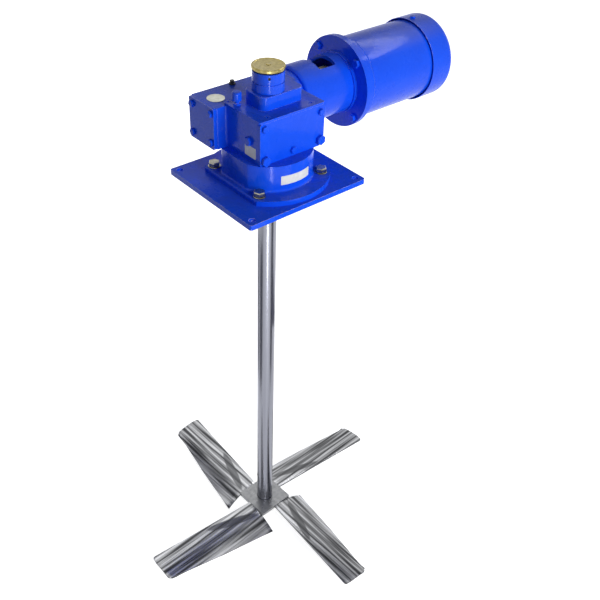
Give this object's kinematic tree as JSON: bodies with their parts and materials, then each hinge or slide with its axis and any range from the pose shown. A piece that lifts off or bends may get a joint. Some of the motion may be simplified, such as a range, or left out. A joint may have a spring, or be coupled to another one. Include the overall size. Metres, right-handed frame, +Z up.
{
  "type": "tank mixer",
  "caption": "Top-entry tank mixer: geared motor on a square mounting plate, with a long vertical shaft that turns a bent-plate hydrofoil impeller.",
  "frame": {"origin": "centre of the mounting plate's underside, on the axis of the mixing shaft", "axes": "+Z up along the mixing shaft, +X along the motor from the gear case, +Y towards the motor's side of the plate"},
  "size_m": [0.7652, 0.6084, 1.1035],
  "materials": {
    "bare_aluminium": "bare rolled aluminium",
    "black_plastic": "moulded nylon",
    "black_rubber": "nitrile rubber",
    "blue_paint": "gloss royal blue enamel over cast iron and steel",
    "brass": "yellow brass, cast and turned",
    "bronze": "gear bronze",
    "copper_winding": "varnished copper winding",
    "core_steel": "varnished core laminations",
    "ground_steel": "ground steel",
    "orange_urethane": "moulded urethane",
    "polished_stainless": "polished stainless steel",
    "zinc_plate": "zinc plated steel"
  },
  "bodies": {
    "housing": {"adapter_screws": "blue_paint", "breather": "blue_paint", "conduit_box": "blue_paint", "conduit_cover": "blue_paint", "conduit_screws": "blue_paint", "data_disc": "bare_aluminium", "end_cover": "blue_paint", "end_cover_screws": "blue_paint", "fan_cover_screws": "blue_paint", "flange_bolts": "zinc_plate", "flange_washers": "zinc_plate", "front_cover": "blue_paint", "front_cover_bolts": "blue_paint", "front_cover_screws": "blue_paint", "gear_case": "blue_paint", "lower_seal": "black_rubber", "motor_adapter": "blue_paint", "motor_bolts": "blue_paint", "motor_fan_cover": "blue_paint", "motor_frame": "blue_paint", "motor_front_bell": "blue_paint", "motor_outer_races": "ground_steel", "motor_rear_bell": "blue_paint", "mounting_plate": "blue_paint", "oil_level_plug": "blue_paint", "pedestal": "blue_paint", "pedestal_screws": "zinc_plate", "quill_outer_races": "ground_steel", "side_plug": "blue_paint", "stator_coils": "copper_winding", "stator_core": "core_steel", "top_cover": "blue_paint", "top_cover_screws": "blue_paint", "upper_seal": "black_rubber", "vent_plug": "black_rubber", "worm_outer_races": "ground_steel", "worm_seal": "black_rubber"},
    "drive_line": {"worm_shaft": "ground_steel", "worm_rollers": "ground_steel", "drive_hub": "zinc_plate", "coupling_spider": "orange_urethane", "motor_hub": "zinc_plate", "motor_shaft": "ground_steel", "rotor_core": "core_steel", "motor_rollers": "ground_steel", "motor_fan": "black_plastic"},
    "mixer": {"worm_wheel": "bronze", "wheel_key": "ground_steel", "quill": "ground_steel", "shaft_key": "ground_steel", "quill_rollers": "ground_steel", "mixing_shaft": "polished_stainless", "shaft_collar": "blue_paint", "set_screws": "ground_steel", "shaft_cap": "brass", "impeller_hub": "polished_stainless", "impeller_blade_1": "polished_stainless", "impeller_blade_2": "polished_stainless", "impeller_blade_3": "polished_stainless", "impeller_blade_4": "polished_stainless"}
  },
  "joints": [
    {"name": "mixer_spin", "type": "hinge", "parent": "housing", "child": "mixer", "pos_m": [0, 0, 0], "axis": [0, 0, 1], "continuous": true},
    {"name": "motor_spin", "type": "hinge", "parent": "housing", "child": "drive_line", "pos_m": [0.08, 0.071, 0.1], "axis": [1, 0, 0], "continuous": true}
  ],
  "couplings": [
    {"joint": "motor_spin", "follows": "mixer_spin", "ratio": 18}
  ]
}
